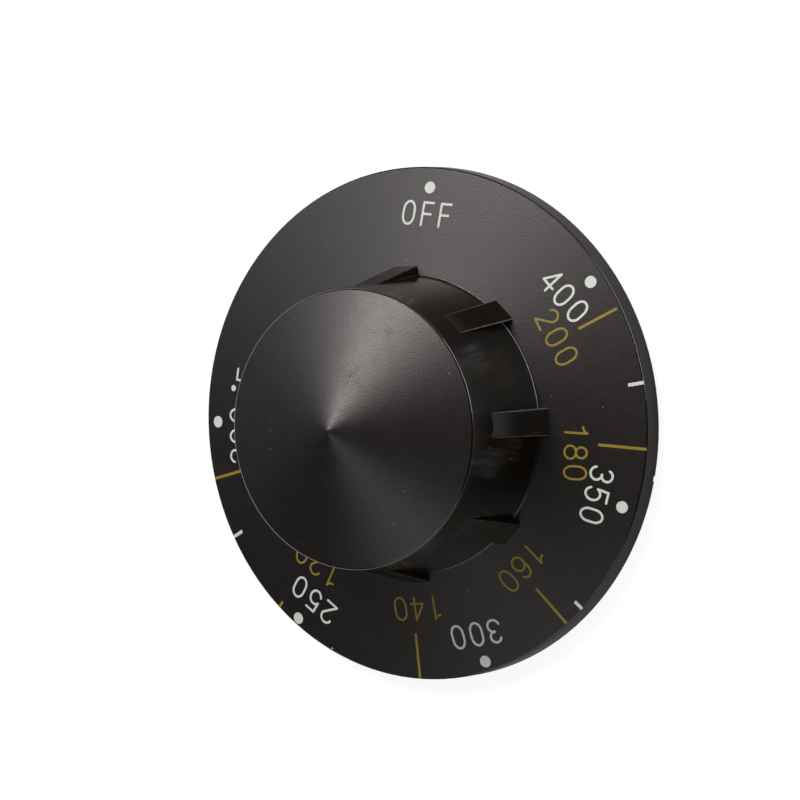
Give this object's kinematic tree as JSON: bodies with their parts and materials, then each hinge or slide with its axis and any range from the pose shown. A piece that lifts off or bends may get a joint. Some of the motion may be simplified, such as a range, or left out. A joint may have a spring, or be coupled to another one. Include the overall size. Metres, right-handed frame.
{
  "type": "fryer temperature control knob",
  "caption": "Round black push-on dial knob with a tapered ribbed hub, a conical top and a printed temperature scale, for setting a deep fryer's heat.",
  "frame": {"origin": "centre of the back rim, in the plane that the knob rests on", "axes": "+Z along the knob's axis from the panel side to the conical top, +Y towards the OFF mark of the printed scale"},
  "size_m": [0.07, 0.07, 0.0275],
  "materials": {
    "black_moulding": "black thermoset, satin on the dial's face and the conical top, glossy on the hub, ribs and rim",
    "spring_steel": "bare spring strip",
    "white_ink": "matt printing ink",
    "gold_ink": "matt printing ink"
  },
  "bodies": {
    "root": {"knob_body": "black_moulding", "boss_spring": "spring_steel"}
  },
  "joints": []
}
